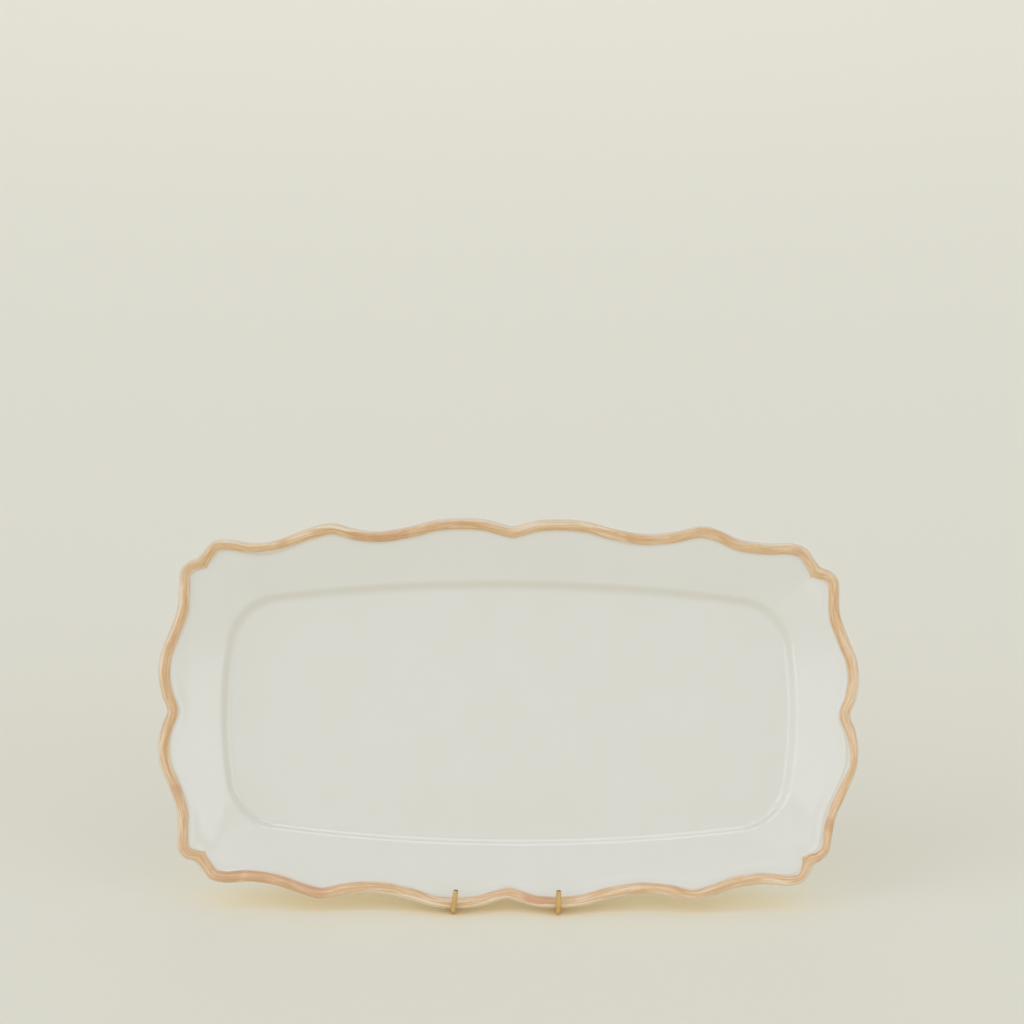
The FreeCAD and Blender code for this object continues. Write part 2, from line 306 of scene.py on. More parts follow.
# The glaze's brushed edges, as distances in from the rim, and how far it stands proud.
GLAZE_INNER = 6.7
GLAZE_OUTER = 0.55
GLAZE_PROUD = 0.1
GLAZE_SINK = 0.4
GLAZE_DEPTH = 0.9
GLAZE_EASE = 0.35  # how far in from its own edge the glaze reaches its full height
GLAZE_NARROWEST = 4.5
GLAZE_WIDEST = 9.6
GLAZE_STEPS = 20
BEAD_POINTS = 8  # per span of the bead's section, to lay the glaze on
# How far the brush strayed, as (size, waves round the rim, phase), at each of its edges.
INNER_STRAY = [(0.16, 9, 0.3), (0.1, 23, 1.7), (0.07, 61, 0.9)]
OUTER_STRAY = [(0.15, 7, 2.1), (0.1, 19, 0.2), (0.06, 53, 1.3)]
# Where the glaze is wider or narrower than usual: (u, v, extra width, spread).
BRUSHING = [
    (-180.6, 88.0, 2.6, 2.6),
    (180.6, 86.0, 2.6, 2.6),
    (-181.0, -87.0, 2.8, 2.6),
    (177.5, -90.0, 3.2, 2.6),
    (172.0, -96.0, -1.4, 9.0),
    (186.0, -80.0, -1.2, 9.0),
    (-142.0, 98.0, -1.5, 16.0),
    (199.0, -28.0, -1.9, 16.0),
    (192.0, -62.0, -0.8, 12.0),
]
# Where the glaze has pulled back from the edge: (u, v, share, spread).
THINNED = [
    (-101.0, 108.0, 1.0, 15.0),
    (-166.0, 99.0, 0.55, 9.0),
    (-45.0, -111.0, 0.85, 26.0),
    (-10.0, -109.0, 0.8, 26.0),
    (32.0, -111.0, 0.85, 30.0),
    (-202.0, -22.0, 0.35, 14.0),
    (178.0, -92.0, 0.4, 10.0),
]

# Where clear glaze pools in the step, outwards from the shoulder.
POOL_MIDDLE = -2.0
POOL_SPREAD = 2.4
# Where tan glaze stains the white beside it: (distance in from the rim, strength, spread).
STAINS = [(6.9, 0.35, 1.1), (0.0, 0.6, 1.0)]


def border_height(points):
    """Height of the border's slope at points outside the shoulder."""
    u, v = np.abs(points - WELL_MIDDLE).T
    past_long = v - WELL_HALF_WIDTH + u * u / (2 * WELL_LONG_SIDE_RADIUS)
    past_short = u - WELL_HALF_LENGTH + v * v / (2 * WELL_SHORT_SIDE_RADIUS)
    larger = (past_long + past_short + np.hypot(past_long - past_short, VALLEY_SOFTNESS)) / 2
    return SHOULDER_W + BORDER_SLOPE * larger


# The rim sags and lifts a little in the kiln.
SAG = waves(TURN, (0.2, 2, 0.6), (0.15, 3, 2.0), (0.1, 5, 1.1)) - 0.25


def ring(outwards, height):
    """One ring of the section as (outwards from the shoulder, height) at every station."""
    return np.stack([outwards + 0 * REACH, height + 0 * REACH], axis=-1)


def slope_row(outwards, height, sag):
    """A ring at a height above the border's slope, which sags by a share of the rim's sag."""
    return ring(outwards, border_height(SHOULDER + RAY * outwards[:, None]) + height + SAG * sag)


def rim_row(distance, height):
    """A ring at a distance in from the rim and a height above the border's slope there."""
    return slope_row(reach_at(distance), height, 1.0)


def border_row(share):
    """The slope at a share of its way. Its own dip at the corners fades out at the shoulder."""
    dip = (SHOULDER_W - border_height(SHOULDER)) * (1 - share)
    return slope_row(REACH * share, dip, share)


def place(rings, inwards=1.0):
    """Rings of the section as points of the row frame, shrunk towards the middle.

    The face and back are uneven by a tenth of a millimetre, and the foot is ground flat.
    """
    plan = (SHOULDER + RAY * rings[..., :1]) * inwards
    w = rings[..., 1]
    u, v = plan[..., 0], plan[..., 1]
    uneven = 0.09 * np.sin(u / 27 + 1) * np.sin(v / 19 + 2) + 0.05 * np.sin(u / 13 - v / 17)
    w = w + uneven * np.clip(w / FLOOR_W, 0, 1) ** 2
    return in_row(u, v, w)


# ---- Meshes ------------------------------------------------------------------------------
def new_piece(name, verts, faces, material, body, replaced=(), values=None):
    """A smooth-shaded mesh that rides on a body. values holds its named vertex attributes."""
    mesh = bpy.data.meshes.new(name)
    mesh.from_pydata(np.reshape(verts, (-1, 3)).tolist(), [], faces)
    mesh.shade_smooth()
    for key, array in (values or {}).items():
        numbers = np.ravel(array).astype(np.float32)
        vector = numbers.size > len(mesh.vertices)
        layer = mesh.attributes.new(key, "FLOAT_VECTOR" if vector else "FLOAT", "POINT")
        layer.data.foreach_set("vector" if vector else "value", numbers)
    mesh.materials.append(material)
    piece = bpy.data.objects.new(name, mesh)
    bpy.context.scene.collection.objects.link(piece)
    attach(piece, body)
    if replaced:
        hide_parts(*replaced)
    return piece


def skin(rings, tube):
    """Faces between rings of equal length. A tube closes on its first ring, and otherwise
    the first and last rings are capped."""
    count, around = rings.shape[:2]
    index = np.arange(count * around).reshape(count, around)
    rows = np.vstack([index, index[:1]]) if tube else index
    low, high = rows[:-1], rows[1:]
    quads = np.stack([low, high, np.roll(high, -1, 1), np.roll(low, -1, 1)], axis=-1)
    faces = quads.reshape(-1, 4).tolist()
    if not tube:
        faces += [index[0].tolist(), index[-1][::-1].tolist()]
    return faces


def dish(material):
    """The whole white body, from the middle of the well round to the middle of its back."""
    rows = [ring(*row) for row in STEP_ROWS]
    rows += [border_row(share) for share in BORDER_SHARES]
    rows += [rim_row(*row) for row in BEAD_ROWS + EDGE_ROWS]
    rows += [ring(*row) for row in UNDER_ROWS]
    section = smooth(rows, ROWS_PER_SPAN, closed=False)
    shrink = np.linspace(SMALLEST_RING, 1, FLOOR_RINGS, endpoint=False)
    top = [place(section[0], share) for share in shrink]
    bottom = [place(section[-1], share) for share in shrink[::-1]]
    rings = np.array([*top, *place(section), *bottom])
    # Each row of the section also says how much glaze pools there, and where it is stained
    # by the tan glaze beside it.
    pool = np.zeros(rings.shape[:2])
    stain = np.zeros(rings.shape[:2])
    step = ROWS_PER_SPAN * len(STEP_ROWS)
    from_pool = (section[:step, :, 0] - POOL_MIDDLE) / POOL_SPREAD
    pool[FLOOR_RINGS : FLOOR_RINGS + step] = np.exp(-(from_pool**2))
    face = step + ROWS_PER_SPAN * (len(BORDER_SHARES) + len(BEAD_ROWS) + len(EDGE_ROWS))
    inside = REACH - section[:face, :, 0]
    stain[FLOOR_RINGS : FLOOR_RINGS + face] = sum(
        strength * np.exp(-(((inside - middle) / spread) ** 2))
        for middle, strength, spread in STAINS
    )
    # The foot is bare clay up to a small height, so each point carries its own.
    heights = np.full(rings.shape[:2], UNDER_ROWS[-1][1])
    heights[: FLOOR_RINGS + len(section)] = FLOOR_W
    heights[FLOOR_RINGS : FLOOR_RINGS + len(section)] = section[..., 1]
    return new_piece(
        "platter_dish",
        rings,
        skin(rings, tube=False),
        material,
        "platter",
        ["platter_body"],
        {"height": heights, "pool": pool, "stain": stain},
    )


def brushed():
    """How far the brush strayed from its even width at each station."""
    stray = waves(TURN, *INNER_STRAY)
    for u, v, extra, spread in BRUSHING:
        stray += extra * np.exp(-np.linalg.norm(RIM - [u, v], axis=1) / spread)
    return stray


def thinned():
    """How far the glaze has pulled back from the edge at each station."""
    shares = [
        share * np.exp(-((np.linalg.norm(RIM - [u, v], axis=1) / spread) ** 2))
        for u, v, share, spread in THINNED
    ]
    return np.max(shares, axis=0)


def rim_glaze(material):
    """The brushed glaze on the bead: a skin that sinks into the body at both its edges."""
    line = smooth(BEAD_ROWS, BEAD_POINTS, closed=False)
    along = np.append(0, np.cumsum(np.linalg.norm(np.diff(line, axis=0), axis=1)))
    slope = np.gradient(line[:, 1], along)
    run = -np.gradient(line[:, 0], along)
    inner = np.clip(GLAZE_INNER + brushed(), GLAZE_NARROWEST, GLAZE_WIDEST)
    outer = GLAZE_OUTER + waves(TURN, *OUTER_STRAY)
    start = np.interp(-inner, -line[:, 0], along)
    end = np.interp(-outer, -line[:, 0], along)
    shares = np.linspace(0, 1, GLAZE_STEPS)
    rows, across = [], []
    for share in np.append(shares, shares[::-1]):
        at = start + (end - start) * share
        under = len(rows) >= GLAZE_STEPS
        edge = min(share, 1 - share) * (GLAZE_INNER - GLAZE_OUTER)
        proud = GLAZE_PROUD - GLAZE_SINK * max(0, 1 - edge / GLAZE_EASE)
        rise = -GLAZE_DEPTH if under else proud
        distance, height, tilt, level = (
            np.interp(at, along, values) for values in (line[:, 0], line[:, 1], slope, run)
        )
        rows.append(rim_row(distance, height) + rise * np.stack([-tilt, level], axis=-1))
        across.append(share + 0 * at)
    rings = place(np.array(rows))
    radius = RIM_LENGTH / (2 * math.pi)
    round_rim = radius * np.stack([np.cos(TURN), np.sin(TURN), 0 * TURN], axis=-1)
    values = {
        "across": np.array(across),
        "around": np.broadcast_to(round_rim, rings.shape).copy(),
        "pull": np.broadcast_to(thinned(), rings.shape[:2]).copy(),
    }
    return new_piece(
        "rim_glaze_band",
        rings,
        skin(rings, tube=True),
        material,
        "platter",
        ["rim_glaze"],
        values,
    )


# ---- Materials ---------------------------------------------------------------------------
def srgb(red, green, blue):
    """A linear colour with alpha, from the usual 0 to 255 values."""
    share = np.array([red, green, blue]) / 255
    linear = np.where(share <= 0.04045, share / 12.92, ((share + 0.055) / 1.055) ** 2.4)
    return (*linear.tolist(), 1.0)


def feed(tree, sockets, values):
    """Link or set each input socket, by whether its value is another node's output."""
    for socket, value in zip(sockets, values):
        if isinstance(value, bpy.types.NodeSocket):
            tree.links.new(value, socket)
        else:
            socket.default_value = value


def add(tree, kind, settings=None, **inputs):
    """A shader node with its settings and inputs. Returns its first output."""
    node = tree.nodes.new("ShaderNode" + kind)
    for key, value in (settings or {}).items():
        setattr(node, key, value)
    feed(tree, [node.inputs[key.replace("_", " ")] for key in inputs], inputs.values())
    return node.outputs[0]


def mix_colours(tree, share, low, high):
    """low where share is 0, high where it is 1."""
    node = tree.nodes.new("ShaderNodeMix")
    node.data_type = "RGBA"
    feed(tree, [node.inputs[number] for number in (0, 6, 7)], (share, low, high))
    return node.outputs[2]


def mix_values(tree, share, low, high):
    """low where share is 0, high where it is 1, for plain numbers."""
    node = tree.nodes.new("ShaderNodeMix")
    feed(tree, [node.inputs[number] for number in (0, 2, 3)], (share, low, high))
    return node.outputs[0]


def arithmetic(tree, operation, *values):
    """A sum on plain numbers."""
    node = tree.nodes.new("ShaderNodeMath")
    node.operation = operation
    feed(tree, node.inputs, values)
    return node.outputs[0]


def on_vectors(tree, operation, *values):
    """A sum on vectors. Returns its node, whose output is a Vector or a Value."""
    node = tree.nodes.new("ShaderNodeVectorMath")
    node.operation = operation
    feed(tree, node.inputs, values)
    return node


def colour_ramp(tree, value, stops):
    """A smooth run through stops, each (position, colour)."""
    node = tree.nodes.new("ShaderNodeValToRGB")
    tree.links.new(value, node.inputs[0])
    elements = node.color_ramp.elements
    while len(elements) < len(stops):
        elements.new(0.5)
    for element, (position, colour) in zip(elements, stops):
        element.position = position
        element.color = colour
    return node.outputs[0]


def ramp(tree, value, low, high, to_low=0.0, to_high=1.0):
    """value mapped smoothly from low..high to to_low..to_high."""
    return add(
        tree,
        "MapRange",
        {"interpolation_type": "SMOOTHSTEP"},
        Value=value,
        From_Min=low,
        From_Max=high,
        To_Min=to_low,
        To_Max=to_high,
    )


def attribute(tree, name, vector=False):
    """A vertex attribute of the mesh, as a number or a vector."""
    node = tree.nodes.new("ShaderNodeAttribute")
    node.attribute_name = name
    return node.outputs["Vector" if vector else "Fac"]


def new_material(name):
    """A material and its node tree, with only the output node."""
    material = bpy.data.materials.new(name)
    material.use_nodes = True
    tree = material.node_tree
    tree.nodes.clear()
    tree.nodes.new("ShaderNodeOutputMaterial")
    return material, tree


def finish_material(tree, **inputs):
    """Join a principled shader with these inputs to the material's output."""
    shader = add(tree, "BsdfPrincipled", None, **inputs)
    output = next(node for node in tree.nodes if node.type == "OUTPUT_MATERIAL")
    tree.links.new(shader, output.inputs["Surface"])


WHITE = srgb(232, 230, 221)
WHITE_WARM = srgb(231, 229, 219)
POOLED = srgb(228, 222, 205)
STAINED = srgb(224, 194, 154)
BARE_CLAY = srgb(206, 190, 160), srgb(226, 214, 190)
BARE_BELOW = 0.5  # height above the foot under which the clay is bare
GLAZED_ABOVE = 0.9


def white_glaze():
    """Glossy off-white glaze, faintly uneven, over bare cream clay at the foot."""
    material, tree = new_material("white_glaze")
    place_on = tree.nodes.new("ShaderNodeTexCoord").outputs["Object"]
    mottle = add(tree, "TexNoise", None, Vector=place_on, Scale=26.0, Detail=4.0, Roughness=0.55)
    cloud = mix_colours(tree, ramp(tree, mottle, 0.35, 0.68), WHITE_WARM, WHITE)
    pool = ramp(tree, attribute(tree, "pool"), 0.1, 1.0, 0.0, 0.3)
    stain = ramp(tree, attribute(tree, "stain"), 0.0, 1.0)
    glazed = mix_colours(tree, stain, mix_colours(tree, pool, cloud, POOLED), STAINED)
    grain = add(tree, "TexNoise", None, Vector=place_on, Scale=900.0, Detail=3.0)
    bare = ramp(tree, attribute(tree, "height"), GLAZED_ABOVE, BARE_BELOW)
    colour = mix_colours(tree, bare, glazed, mix_colours(tree, grain, *BARE_CLAY))
    ripple = add(tree, "TexNoise", None, Vector=place_on, Scale=38.0, Detail=2.0)
    orange_peel = add(tree, "TexNoise", None, Vector=place_on, Scale=420.0, Detail=2.0)
    swell = add(tree, "Bump", None, Strength=0.25, Distance=0.0003, Height=ripple)
    normal = add(
        tree, "Bump", None, Strength=0.05, Distance=0.0001, Height=orange_peel, Normal=swell
    )
    sheen = ramp(tree, mottle, 0.3, 0.7, 0.055, 0.09)
    rough = mix_values(tree, bare, sheen, 0.8)
    finish_material(tree, Base_Color=colour, Roughness=rough, Normal=normal, IOR=1.5)
    return material


# The brushed glaze across the band, as (share from inside to outside, colour).
TAN_BAND = [
    (0.0, srgb(234, 201, 160)),
    (0.12, srgb(232, 194, 149)),
    (0.35, srgb(229, 192, 147)),
    (0.6, srgb(224, 188, 142)),
    (0.85, srgb(226, 196, 158)),
    (1.0, srgb(230, 207, 176)),
]
TAN_LIGHT = srgb(243, 224, 196)
TAN_DEEP = srgb(214, 168, 118)
TAN_RUST = srgb(206, 150, 106)
TAN_THIN = srgb(242, 226, 198)
TAN_LINE = srgb(206, 166, 118)
STREAK_STRETCH = 140.0  # how much faster the streaks change across the band than round it
PULLED_BACK = 0.42  # the most of the band's width that the tan glaze pulls back
LINE_ACROSS = 0.86  # where the fine line runs, as a share of the way across


def tan_glaze():
    """Tan glaze brushed along the rim, pulled back from the edge in places."""
    material, tree = new_material("tan_glaze")
    across = attribute(tree, "across")
    around = attribute(tree, "around", vector=True)
    # Streaks run along the rim: the noise changes fast across the band and slowly round it.
    lift = add(tree, "CombineXYZ", None, Z=across)
    stretch = (0.0, 0.0, STREAK_STRETCH)
    stretched = on_vectors(tree, "MULTIPLY_ADD", lift, stretch, around).outputs["Vector"]
    streak = add(tree, "TexNoise", None, Vector=stretched, Scale=0.024, Detail=3.0, Roughness=0.6)
    hair = add(tree, "TexNoise", None, Vector=stretched, Scale=0.075, Detail=3.0, Roughness=0.6)
    load = add(tree, "TexNoise", None, Vector=around, Scale=0.022, Detail=3.0, Roughness=0.65)
    body = colour_ramp(tree, across, TAN_BAND)
    for noise, none, full, most, tint in (
        (streak, 0.52, 0.66, 0.75, TAN_LIGHT),
        (streak, 0.48, 0.34, 0.75, TAN_DEEP),
        (hair, 0.52, 0.62, 0.5, TAN_LIGHT),
        (hair, 0.48, 0.38, 0.5, TAN_DEEP),
        (load, 0.53, 0.64, 0.55, TAN_RUST),
    ):
        body = mix_colours(tree, ramp(tree, noise, none, full, 0.0, most), body, tint)
    # Where it pulled back, thin cream glaze shows outside it, with a fine tan line along that.
    pull = attribute(tree, "pull")
    reach = arithmetic(tree, "MULTIPLY_ADD", pull, PULLED_BACK, across)
    reach = arithmetic(tree, "MULTIPLY_ADD", hair, 0.12, reach)
    thin = ramp(tree, reach, 0.98, 1.08, 0.0, 0.85)
    body = mix_colours(tree, thin, body, TAN_THIN)
    off_line = arithmetic(tree, "ABSOLUTE", arithmetic(tree, "SUBTRACT", across, LINE_ACROSS))
    line = arithmetic(tree, "MULTIPLY", pull, ramp(tree, off_line, 0.03, 0.06, 0.7, 0.0))
    body = mix_colours(tree, line, body, TAN_LINE)
    colour = mix_colours(tree, ramp(tree, across, 0.0, 0.05), WHITE, body)
    relief = add(tree, "Bump", None, Strength=0.1, Distance=0.0002, Height=hair)
    finish_material(tree, Base_Color=colour, Roughness=0.11, Normal=relief, IOR=1.5)
    return material


BRASS = srgb(232, 203, 142)
BRASS_DULL = srgb(196, 158, 98)
BRASS_CUT = srgb(150, 118, 86)


def brass():
    """Polished brass rod with fine drawing lines, a few dull patches and dark cut ends."""
    material, tree = new_material("polished_brass")
    place_on = tree.nodes.new("ShaderNodeTexCoord").outputs["Object"]
    patch = add(tree, "TexNoise", None, Vector=place_on, Scale=140.0, Detail=4.0, Roughness=0.6)
    fine = add(tree, "TexNoise", None, Vector=place_on, Scale=1800.0, Detail=2.0)
    polish = ramp(tree, patch, 0.42, 0.72, 0.0, 0.6)
    cut = attribute(tree, "cut")
    colour = mix_colours(tree, polish, BRASS, BRASS_DULL)
    colour = mix_colours(tree, cut, colour, BRASS_CUT)
    rough = mix_values(tree, cut, ramp(tree, patch, 0.35, 0.7, 0.12, 0.24), 0.5)
    normal = add(tree, "Bump", None, Strength=0.1, Distance=0.00005, Height=fine)
    finish_material(tree, Base_Color=colour, Metallic=1.0, Roughness=rough, Normal=normal)
    return material


# ---- The stand ---------------------------------------------------------------------------
# The same sizes as the CAD rods: x from the stand's middle, v up the platter's face.
ROD_R = 1.5
STAND_SHIFT = -1.2
HOOK_HALF_SPACING = 30.5
HOOK_HEIGHT = 15.4
HOOK_TILTS = {-1: math.radians(6.5), 1: 0.0}
HOOK_BEND = 3.0
TOP_HALF_WIDTH = 20.0
TOP_BEND = 14.0
TOP_V = 82.0
PIVOT_V = 55.0
BRACE_V = -62.0
BRAZE_LAP = 0.4
BAR_OVERHANG = 4.0
LEG_SPREAD = math.radians(32.0)
LEG_TOP_HALF_WIDTH = 14.0
LEG_FOOT_HALF_WIDTH = 24.0
LEG_BEND = 9.0
SLEEVE_R = 2.6
SLEEVE_LENGTH = 8.0
SLEEVE_BORE = 1.55
EAR_BEND = 3.6
EAR_REACH = 3.5
EAR_GAP = 0.05
BAR_BEHIND = 3 * ROD_R - BRAZE_LAP
ROD_SIDES = 28
NOT_ALONG_A_ROD = [0.31, 0.94, 0.14]  # any direction that no rod's end points in
ROD_EASE = 0.25  # the round on a cut end's edge
BAR_EASE = 0.5
CUT_CROWN = 0.03  # how far a cut end's face stands out at its middle
SLEEVE_LIP = 0.3
BRAZE_HALF_LENGTH = 2.3
BRAZE_HALF_HEIGHT = 1.25

LEAN = math.asin(OUT[2])
FOOT_V = (ROD_R - ORIGIN[2] / MM + ROD_R * math.sin(LEAN)) / math.cos(LEAN)
HOOK_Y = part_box("front_frame")[0].y / MM + ROD_R


def on_stand(x, v, behind):
    """A point x from the stand's middle and v up it, behind the plane of the platter's foot."""
    return Vector(in_row(STAND_SHIFT + x, v, -behind) / MM)


def on_leg(x, up, behind):
    """A point of the open rear leg: up the leg from its pivot, and behind the pivot."""
    angle = LEAN - LEG_SPREAD
    along = Vector((0, math.sin(angle), math.cos(angle)))
    back = Vector((0, math.cos(angle), -math.sin(angle)))
    return Vector(HINGE["pos_m"]) / MM + Vector((x, 0, 0)) + along * up + back * behind


def upright_half_width(v):
    """Half the distance between the uprights at a height up the platter's face."""
    share = (v - FOOT_V) / (TOP_V - FOOT_V)
    return HOOK_HALF_SPACING + (TOP_HALF_WIDTH - HOOK_HALF_SPACING) * share


def bent_line(corners, radii, steps=12):
    """Points along straight runs, with an arc of its own radius at each inner corner."""
    points = [corners[0]]
    for before, corner, after, radius in zip(corners, corners[1:], corners[2:], radii):
        to_before = (before - corner).normalized()
        to_after = (after - corner).normalized()
        half_angle = to_before.angle(to_after) / 2
        first = corner + to_before * radius / math.tan(half_angle)
        centre = corner + (to_before + to_after).normalized() * radius / math.sin(half_angle)
        for turn in np.linspace(0, math.pi - 2 * half_angle, steps):
            arm = (first - centre) * math.cos(turn) - to_before * radius * math.sin(turn)
            points.append(centre + arm)
    points.append(corners[-1])
    return points


def swept_rings(points, sizes):
    """Round rings of the given radii along points, carried round bends without twisting.

    Seen from ahead a ring runs anticlockwise, so the reversed rings' faces point outwards.
    """
    points = np.array(points)
    ahead = np.gradient(points, axis=0)
    ahead /= np.linalg.norm(ahead, axis=1)[:, None]
    side = np.cross(ahead[0], NOT_ALONG_A_ROD)
    rings = []
    for point, direction, size in zip(points, ahead, sizes):
        side = side - direction * (side @ direction)
        side /= np.linalg.norm(side)
        other = np.cross(direction, side)
        turns = np.linspace(0, 2 * math.pi, ROD_SIDES, endpoint=False)[:, None]
        rings.append(point + size * (np.cos(turns) * side + np.sin(turns) * other))
    return np.array(rings)[:, ::-1]


def rod(name, line, ease, material, body, replaced):
    """A rod along a line with flat cut ends, their edges eased by a small round."""
    points = [Vector(p) for p in line]
    start, stop = (points[1] - points[0]).normalized(), (points[-1] - points[-2]).normalized()
    # The cut end's rings, as (distance from the end, radius).
    eased = [(0.0, ROD_R - ease - 0.1)]
    for angle in np.linspace(math.pi / 2, 0, 5):
        back = CUT_CROWN + ease * (1 - math.sin(angle))
        eased.append((back, ROD_R - ease * (1 - math.cos(angle))))
    eased.append((CUT_CROWN + ease + 0.2, ROD_R))
    path = [points[0] + start * reach for reach, _ in eased] + points[1:-1]
    path += [points[-1] - stop * reach for reach, _ in reversed(eased)]
    sizes = [size for _, size in eased] + [ROD_R] * (len(points) - 2)
    sizes += [size for _, size in reversed(eased)]
    rings = swept_rings(path, sizes) * MM
    cut = np.zeros(rings.shape[:2])
    cut[[0, 1, -2, -1]] = 1.0
    faces = skin(rings, tube=False)
    values = {"cut": cut}
    return new_piece(name, rings, faces, material, body, replaced, values)


def front_frame_line():
    """From the left hook's tip, back and up over the top bend, and down to the right hook's."""
    sides = []
    for side, tilt in HOOK_TILTS.items():
        x = side * HOOK_HALF_SPACING
        tip = x - side * math.tan(tilt) * (HOOK_HEIGHT - ROD_R)
        sides.append([
            Vector((STAND_SHIFT + tip, HOOK_Y, HOOK_HEIGHT)),
            Vector((STAND_SHIFT + x, HOOK_Y, ROD_R)),
            on_stand(x, FOOT_V, ROD_R),
            on_stand(side * TOP_HALF_WIDTH, TOP_V, ROD_R),
        ])
    bends = [HOOK_BEND, HOOK_BEND, TOP_BEND]
    return bent_line(sides[0] + sides[1][::-1], bends + bends[::-1])


def leg_geometry():
    """How far the leg's rod lies behind the pivot, and how far up it the ears are."""
    behind = SLEEVE_R + ROD_R - BRAZE_LAP
    reach = BAR_BEHIND + behind * math.cos(LEG_SPREAD) - 3 * ROD_R - EAR_GAP
    return behind, reach / math.sin(LEG_SPREAD)


def rear_leg_line():
    """From the left ear, in and down round the foot, and up to the right ear."""
    behind, ear_up = leg_geometry()
    foot_down = (on_leg(0, 0, behind).z - ROD_R) / math.cos(LEG_SPREAD - LEAN)
    ear_half = upright_half_width(PIVOT_V + ear_up) + EAR_REACH
    corners = []
    for side in (-1, 1):
        half = [
            on_leg(side * ear_half, ear_up, behind),
            on_leg(side * LEG_TOP_HALF_WIDTH, ear_up, behind),
            on_leg(side * LEG_FOOT_HALF_WIDTH, -foot_down, behind),
        ]
        corners += half[::-side]
    return bent_line(corners, [EAR_BEND, LEG_BEND, LEG_BEND, EAR_BEND])


def hinge_sleeve(side, material):
    """A tube on the pivot bar, with rounded lips."""
    lip = SLEEVE_LIP
    straight = SLEEVE_LENGTH / 2 - lip
    arc = [(lip * math.sin(a), lip * (1 - math.cos(a))) for a in np.linspace(0, math.pi / 2, 5)]
    outer = [(SLEEVE_R - back, straight + out) for out, back in arc]
    inner = [(SLEEVE_BORE + back, straight + out) for out, back in reversed(arc)]
    right = outer + inner
    section = [(radius, -x) for radius, x in reversed(right)] + right
    centre = np.array(HINGE["pos_m"]) / MM + ALONG * side * LEG_TOP_HALF_WIDTH
    turns = np.linspace(0, 2 * math.pi, ROD_SIDES, endpoint=False)
    circle = np.stack([0 * turns, np.cos(turns), np.sin(turns)], axis=-1)
    rings = np.array([centre + radius * circle + ALONG * x for radius, x in section]) * MM
    name = "left" if side < 0 else "right"
    node = f"{name}_hinge_sleeve"
    faces = [face[::-1] for face in skin(rings, tube=True)]
    return new_piece(
        f"hinge_sleeve_{name}", rings, faces, material, "rear_leg", [node]
    )


def braze(name, centre, along, across, material, body):
    """A small smooth fillet of braze, widest along the two rods that it joins."""
    normal = along.cross(across).normalized()
    bpy.ops.mesh.primitive_ico_sphere_add(subdivisions=4, radius=1.0)
    piece = bpy.context.object
    piece.name = piece.data.name = name
    length = along.normalized() * BRAZE_HALF_LENGTH
    width = normal.cross(along).normalized() * BRAZE_HALF_LENGTH
    axes = Matrix((length, width, normal * BRAZE_HALF_HEIGHT))
    piece.data.transform(axes.transposed().to_4x4())
    for vertex in piece.data.vertices:
        co = vertex.co
        co *= 1 + 0.05 * math.sin(2.1 * co.x + co.z) * math.sin(1.7 * co.y + 0.6)
        vertex.co = (co + centre) * MM
    piece.data.shade_smooth()
    piece.data.materials.append(material)
    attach(piece, body)


def build_stand(material):
    """The frame and its leg, the two bars across it, the sleeves and all the braze."""
    rod("front_frame_rod", front_frame_line(), ROD_EASE, material, "stand", ["front_frame"])
    rod("rear_leg_rod", rear_leg_line(), ROD_EASE, material, "rear_leg", ["rear_leg"])
    for node, v in (("pivot_bar", PIVOT_V), ("lower_brace", BRACE_V)):
        half = upright_half_width(v) + BAR_OVERHANG
        line = [on_stand(x, v, BAR_BEHIND) for x in np.linspace(-half, half, 9)]
        rod(f"{node}_rod", line, BAR_EASE, material, "stand", [node])
        for side in (-1, 1):
            centre = on_stand(side * upright_half_width(v), v, (BAR_BEHIND + ROD_R) / 2)
            name = f"{node}_braze_{'left' if side < 0 else 'right'}"
            braze(name, centre, Vector(ALONG), Vector(UP), material, "stand")
    behind, _ = leg_geometry()
    for side in (-1, 1):
        hinge_sleeve(side, material)
        name = f"sleeve_braze_{'left' if side < 0 else 'right'}"
        centre = on_leg(side * LEG_TOP_HALF_WIDTH, 0, behind - ROD_R + BRAZE_LAP / 2)
        up_leg = on_leg(0, 1, 0) - on_leg(0, 0, 0)
        braze(name, centre, Vector(ALONG), up_leg, material, "rear_leg")


# ---- Stage, light and camera -------------------------------------------------------------
AIMED_ABOVE = 22.0  # the camera is aimed this far above the plane of the platter's foot
PLATTER_MIDDLE = in_row(0.0, 0.0, AIMED_ABOVE)
CAMERA_AZIMUTH = math.radians(-2.2)
CAMERA_PITCH = math.radians(16.0)
CAMERA_ROLL = math.radians(1.09)
CAMERA_DISTANCE = 2.4
FIELD = 0.593  # width of view at the platter
MIDDLE_BELOW = 0.1164  # the platter's middle, below the middle of the view
MIDDLE_LEFT = 0.0017

PAPER = (0.865, 0.842, 0.728, 1.0)
# Painted light on the floor under the dish, mixed in by ambient occlusion: a paler, warmer
# painted bounce light, and closer in a warm brown painted contact shadow, each within its own
# reach.
PAPER_PAINTED_BOUNCE = (1.0, 0.965, 0.81, 1.0)
PAPER_PAINTED_CONTACT_SHADOW = (0.96, 0.8, 0.5, 1.0)
PAINTED_BOUNCE_REACH = 0.14
PAINTED_SHADOW_REACH = 0.045
FLOOR_RADII = [0.15, 0.4, 1.0, 2.5, 6.0, 14.0]
SKY = (0.7, 0.7, 0.7, 1.0)
HORIZON = (0.715, 0.696, 0.597, 1.0)
ROOM = (0.27, 0.26, 0.23, 1.0)
ROOM_DIRECTION = (0.136, -0.967, 0.216)

